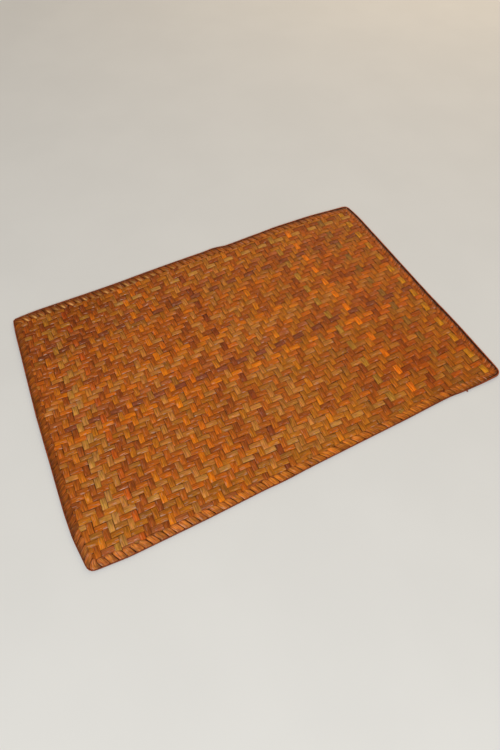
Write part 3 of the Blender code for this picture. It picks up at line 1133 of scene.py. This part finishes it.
def strip_material(name, groups, fibres, stretch, shade_strength, bump, gloss, uneven):
    """Leaf strip: dye and painted light and shade from the strip's own attributes, fibre lines in
    colour, gloss and relief.
    """
    material = bpy.data.materials.new(name)
    material.use_nodes = True
    material.node_tree.nodes.clear()
    nodes = Nodes(material.node_tree)
    place, dye, painted_shade, pale = (
        nodes.add("ShaderNodeAttribute", {"attribute_name": name}).outputs
        for name in ("strip_place", "strip_dye", "strip_bury", "strip_pale")
    )
    fibre = nodes.add("ShaderNodeGroup", {"node_tree": groups["fibre"]})
    nodes.feed(fibre.inputs["Place"], place["Vector"])
    nodes.feed(fibre.inputs["Fibres"], fibres)
    nodes.feed(fibre.inputs["Stretch"], stretch)
    edge = nodes.add("ShaderNodeSeparateXYZ", Vector=place["Vector"]).outputs[2]
    toned_and_lit = nodes.add("ShaderNodeGroup", {"node_tree": groups["light_and_tone"]})
    for label in ("Lines", *FIBRE_LAYERS):
        nodes.feed(toned_and_lit.inputs[label], fibre.outputs[label])
    nodes.feed(toned_and_lit.inputs["Dye"], dye["Color"])
    nodes.feed(toned_and_lit.inputs["Pale"], pale["Fac"])
    nodes.feed(toned_and_lit.inputs["Edge"], edge)
    nodes.feed(toned_and_lit.inputs["Painted shade"], painted_shade["Fac"])
    nodes.feed(toned_and_lit.inputs["Shade strength"], shade_strength)
    nodes.feed(toned_and_lit.inputs["Unevenness"], uneven)
    relief = nodes.add("ShaderNodeBump", Height=fibre.outputs["Lines"])
    relief.inputs["Strength"].default_value = 0.6
    relief.inputs["Distance"].default_value = bump
    shader = nodes.add("ShaderNodeBsdfPrincipled")
    nodes.feed(shader.inputs["Base Color"], toned_and_lit.outputs["Colour"])
    nodes.feed(shader.inputs["Roughness"], toned_and_lit.outputs["Roughness"])
    nodes.feed(shader.inputs["Normal"], relief.outputs["Normal"])
    shader.inputs["Specular IOR Level"].default_value = gloss
    out = nodes.add("ShaderNodeOutputMaterial")
    nodes.feed(out.inputs["Surface"], shader.outputs["BSDF"])
    return material


def shared_groups():
    """The node groups, made once."""
    found = bpy.data.node_groups.get("Leaf fibre")
    if found:
        return {"fibre": found, "light_and_tone": bpy.data.node_groups["Leaf tone and painted light"]}
    return {"fibre": fibre_group(), "light_and_tone": light_and_tone_group()}


def floor_material(colour):
    """Plain pale table: one colour with a faint uneven tone and a fine tooth."""
    material = bpy.data.materials.new("Pale table")
    material.use_nodes = True
    material.node_tree.nodes.clear()
    nodes = Nodes(material.node_tree)
    where = nodes.add("ShaderNodeTexCoord").outputs["Object"]
    noise = nodes.add("ShaderNodeTexNoise", Vector=where, Scale=9.0, Detail=3.0).outputs[0]
    tone = nodes.between(noise, 0.3, 0.7, 0.975, 1.0)
    scale = nodes.add("ShaderNodeCombineXYZ", X=tone, Y=tone, Z=tone).outputs[0]
    shader = nodes.add("ShaderNodeBsdfPrincipled")
    nodes.feed(shader.inputs["Base Color"], nodes.mix(1.0, (*colour, 1), scale, "MULTIPLY"))
    shader.inputs["Roughness"].default_value = 0.9
    out = nodes.add("ShaderNodeOutputMaterial")
    nodes.feed(out.inputs["Surface"], shader.outputs["BSDF"])
    return material


# Settings that a user would change


class PlaitSettings(bpy.types.PropertyGroup):
    """Sizes of the plait."""

    thickness: bpy.props.FloatProperty(
        name="Strip thickness", description="Thickness of one strip", default=0.0005, unit="LENGTH"
    )
    amplitude: bpy.props.FloatProperty(
        name="Rise",
        description="How far a strip rises above the plait's middle on its floats",
        default=0.00040,
        unit="LENGTH",
    )
    rest_height: bpy.props.FloatProperty(
        name="Middle height",
        description="Height of the plait's middle above the table",
        default=0.0008,
        unit="LENGTH",
    )
    edge_lift: bpy.props.FloatProperty(
        name="Edge lift",
        description="How far the whipping holds the plait's edge up",
        default=0.0010,
        unit="LENGTH",
    )
    settling: bpy.props.FloatProperty(
        name="Settling width",
        description="Width over which the lifted edge comes down to the table",
        default=0.022,
        unit="LENGTH",
    )
    cover: bpy.props.FloatProperty(
        name="Cover", description="Width of a strip as a share of its place", default=0.995
    )
    cover_change: bpy.props.FloatProperty(
        name="Cover change", description="How much strips differ in width", default=0.035
    )
    width_change: bpy.props.FloatProperty(
        name="Width change", description="How much a strip's width changes along it", default=0.03
    )
    wander: bpy.props.FloatProperty(
        name="Wander", description="How far a strip strays from its place", default=0.05
    )
    wander_length: bpy.props.FloatProperty(
        name="Wander length", description="Crossings between changes of place", default=5.0
    )
    roll: bpy.props.FloatProperty(
        name="Roll", description="How far a strip tips sideways", default=0.00010, unit="LENGTH"
    )
    tone_change: bpy.props.FloatProperty(
        name="Tone change", description="How much floats of a strip differ in tone", default=0.08
    )
    hue_change: bpy.props.FloatProperty(
        name="Hue change", description="How much floats of a strip differ in hue", default=0.07
    )
    narrowest: bpy.props.FloatProperty(
        name="Narrowest", description="Least share of a strip kept at the edge", default=0.3
    )
    trim: bpy.props.FloatProperty(
        name="Trim", description="Where the plait ends under the whipping", default=0.0032,
        unit="LENGTH",
    )
    # painted shade on the plait under the whipping
    shadow: bpy.props.FloatProperty(
        name="Painted shade width",
        description="Width over which the plait darkens under the whipping",
        default=0.0024,
        unit="LENGTH",
    )
    apart: bpy.props.FloatProperty(
        name="Fibre shift", description="Keeps one strip's grain unlike the next", default=1.37
    )


class EdgeSettings(bpy.types.PropertyGroup):
    """Sizes and colours of the bound edge."""

    turn_top: bpy.props.FloatProperty(
        name="Whipping height", description="Height of the whipped edge", default=0.0033,
        unit="LENGTH",
    )
    turn_thickness: bpy.props.FloatProperty(
        name="Strand thickness", description="Thickness of the whipping strand",
        default=0.0006, unit="LENGTH",
    )
    turn_cover: bpy.props.FloatProperty(
        name="Turn cover", description="Scale of the turns' own widths", default=1.0
    )
    gathered: bpy.props.FloatProperty(
        name="Gathered", description="Width of a turn at its hole, as a share", default=0.55
    )
    turn_tint: bpy.props.FloatVectorProperty(
        name="Whipping tint", description="Tint over the whipping strand's own colours",
        default=(1.0, 1.0, 1.0), subtype="COLOR", size=3,
    )
    # painted highlight stripe along each turn's crest
    crest_highlight_colour: bpy.props.FloatVectorProperty(
        name="Crest highlight colour", description="Colour of the pale stripe along a turn's crest",
        default=tuple(srgb(230, 170, 104)), subtype="COLOR", size=3,
    )
    rim_width: bpy.props.FloatProperty(
        name="Rim width", description="Width of the rim strand", default=0.0018, unit="LENGTH"
    )
    rim_scale: bpy.props.FloatProperty(
        name="Rim height scale", description="Scale of the rim strand's own height", default=1.0
    )
    rim_dye: bpy.props.FloatVectorProperty(
        name="Rim colour", description="Colour of the rim strand",
        default=tuple(srgb(128, 56, 18)), subtype="COLOR", size=3,
    )
    end_place: bpy.props.FloatProperty(
        name="Loose end place", description="Distance of the loose end from the mat's left side",
        default=0.4025, unit="LENGTH",
    )
    end_width: bpy.props.FloatProperty(
        name="Loose end width", description="Width of the loose end", default=0.0024, unit="LENGTH"
    )
    end_length: bpy.props.FloatProperty(
        name="Loose end length", description="Length of the loose end", default=0.0032,
        unit="LENGTH",
    )
    # the hem's dark colour is painted shade under the whipping
    hem_shade_colour: bpy.props.FloatVectorProperty(
        name="Hem shade colour", description="Colour of the hidden hem under the whipping",
        default=tuple(srgb(58, 24, 10)), subtype="COLOR", size=3,
    )


class StageSettings(bpy.types.PropertyGroup):
    """The table, the lights and the camera."""

    table_colour: bpy.props.FloatVectorProperty(
        name="Table colour", description="Colour of the table",
        default=tuple(srgb(228, 227, 224)), subtype="COLOR", size=3,
    )
    key_power: bpy.props.FloatProperty(
        name="Main light", description="Power of the main soft light", default=20.5, unit="POWER"
    )
    fill_power: bpy.props.FloatProperty(
        name="Fill light", description="Power of the fill light", default=13.0, unit="POWER"
    )
    sky: bpy.props.FloatProperty(
        name="Sky", description="Strength of the light from all round", default=0.36
    )
    camera_place: bpy.props.FloatVectorProperty(
        name="Camera place", description="Where the camera stands",
        default=(-0.12345, -0.24971, 0.40438), subtype="TRANSLATION", size=3,
    )
    camera_turn: bpy.props.FloatVectorProperty(
        name="Camera turn", description="How the camera is turned",
        default=(0.53844, -0.00423, -0.46444), subtype="EULER", size=3,
    )
    lens: bpy.props.FloatProperty(
        name="Lens", description="Focal length in millimetres", default=21.44
    )


# Operators

# Half the table's length and width.
TABLE_HALF = 4.0


class PANDANUS_OT_plait(bpy.types.Operator):
    """Plait the upright and lengthways strips"""

    bl_idname = "pandanus.plait"
    bl_label = "Plait Strips"

    def execute(self, context):
        settings = context.scene.pandanus_plait
        stations = np.linspace(0, EDGE_LENGTH, TRIM_STATIONS + 1)[:-1]
        limits = plait_limits(edge_place(stations, np.full(TRIM_STATIONS, settings.trim)))
        groups = shared_groups()
        upright = strip_material("Upright strips", groups, 3000.0, 0.03, 0.75, 0.00025, 0.13, 1.45)
        points, faces, attributes = lay_strips(settings, limits, True)
        nodes = ("woven_panel",)
        put_piece("upright_strips", points, faces, attributes, upright, "pandanus_plait", nodes)
        lengthways = strip_material(
            "Lengthways strips", groups, 3000.0, 0.03, 0.75, 0.00025, 0.13, 1.0
        )
        points, faces, attributes = lay_strips(settings, limits, False)
        put_piece("lengthways_strips", points, faces, attributes, lengthways, "pandanus_plait", nodes)
        return {"FINISHED"}


class PANDANUS_OT_bind(bpy.types.Operator):
    """Bind the edge: hem, whipping strand and rim strand"""

    bl_idname = "pandanus.bind"
    bl_label = "Bind Edge"

    def execute(self, context):
        settings = context.scene.pandanus_edge
        groups = shared_groups()
        hem = strip_material("Hem", groups, 2500.0, 0.05, 0.6, 0.0002, 0.10, 1.0)
        put_piece(
            "hem", *hem_roll(settings), hem, "pandanus_plait", ("edge_binding", "woven_panel")
        )
        strand = strip_material("Whipping strand", groups, 2600.0, 0.04, 0.8, 0.00025, 0.15, 1.7)
        put_piece(
            "whipping", *whip_edge(settings), strand, "pandanus_whipping", ("edge_binding",)
        )
        rim = strip_material("Rim strand", groups, 2400.0, 0.05, 0.5, 0.0002, 0.2, 1.5)
        put_piece("rim", *rim_roll(settings), rim, "pandanus_rim", ("rim_strand",))
        put_piece("loose_end", *loose_end(settings), rim, "pandanus_rim", ("rim_strand",))
        return {"FINISHED"}


class PANDANUS_OT_declare(bpy.types.Operator):
    """An empty step: it changes nothing, though the plait with its bound edge is one laid sheet"""

    bl_idname = "pandanus.declare"
    bl_label = "Declare Sheet"

    def execute(self, context):
        return {"FINISHED"}


class PANDANUS_OT_stage(bpy.types.Operator):
    """Set the pale table, soft lights and camera"""

    bl_idname = "pandanus.stage"
    bl_label = "Set Stage"

    def execute(self, context):
        scene = context.scene
        settings = scene.pandanus_stage
        mesh = bpy.data.meshes.new("table")
        signs = ((-1, -1), (1, -1), (1, 1), (-1, 1))
        corners = [(x * TABLE_HALF, y * TABLE_HALF, 0) for x, y in signs]
        mesh.from_pydata(corners, [], [(0, 1, 2, 3)])
        mesh.materials.append(floor_material(settings.table_colour))
        table = bpy.data.objects.new("table", mesh)
        scene.collection.objects.link(table)
        table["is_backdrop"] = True
        lights = (
            ("main_light", (-0.6, -1.25, 1.15), 1.0, settings.key_power, (0.96, 0.99, 1.0)),
            ("fill_light", (1.4, 1.2, 1.0), 1.2, settings.fill_power, (1.0, 0.76, 0.48)),
        )
        for name, place, size, power, colour in lights:
            data = bpy.data.lights.new(name, "AREA")
            data.color = colour
            data.size = size
            data.energy = power
            light = bpy.data.objects.new(name, data)
            light.location = place
            aim = -light.location
            light.rotation_euler = aim.to_track_quat("-Z", "Y").to_euler()
            scene.collection.objects.link(light)
        world = bpy.data.worlds.new("soft_sky")
        world.use_nodes = True
        background = world.node_tree.nodes["Background"]
        background.inputs["Color"].default_value = (1.0, 0.98, 0.95, 1)
        background.inputs["Strength"].default_value = settings.sky
        scene.world = world
        camera_data = bpy.data.cameras.new("camera")
        camera_data.lens = settings.lens
        camera_data.clip_start = 0.01
        camera = bpy.data.objects.new("camera", camera_data)
        camera.location = settings.camera_place
        camera.rotation_euler = settings.camera_turn
        scene.collection.objects.link(camera)
        scene.camera = camera
        scene.view_settings.view_transform = "Standard"
        return {"FINISHED"}


class PANDANUS_PT_mat(bpy.types.Panel):
    """The mat's steps, in the sidebar"""

    bl_label = "Pandanus Mat"
    bl_idname = "PANDANUS_PT_mat"
    bl_space_type = "VIEW_3D"
    bl_region_type = "UI"
    bl_category = "Pandanus Mat"

    def draw(self, context):
        for step in STEPS:
            self.layout.operator(step.bl_idname)


STEPS = (PANDANUS_OT_plait, PANDANUS_OT_bind, PANDANUS_OT_declare, PANDANUS_OT_stage)
SETTINGS = {
    "pandanus_plait": PlaitSettings,
    "pandanus_edge": EdgeSettings,
    "pandanus_stage": StageSettings,
}


def register():
    """Registers the classes and puts the settings on the scene."""
    for kind in (*SETTINGS.values(), *STEPS, PANDANUS_PT_mat):
        bpy.utils.register_class(kind)
    for name, kind in SETTINGS.items():
        setattr(bpy.types.Scene, name, bpy.props.PointerProperty(type=kind))


def unregister():
    """Takes the settings off the scene and the classes out."""
    for name in SETTINGS:
        delattr(bpy.types.Scene, name)
    for kind in reversed((*SETTINGS.values(), *STEPS, PANDANUS_PT_mat)):
        bpy.utils.unregister_class(kind)


def main():
    """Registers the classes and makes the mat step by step."""
    register()
    bpy.ops.pandanus.plait()
    bpy.ops.pandanus.bind()
    bpy.ops.pandanus.declare()
    bpy.ops.pandanus.stage()


if __name__ == "__main__":
    main()
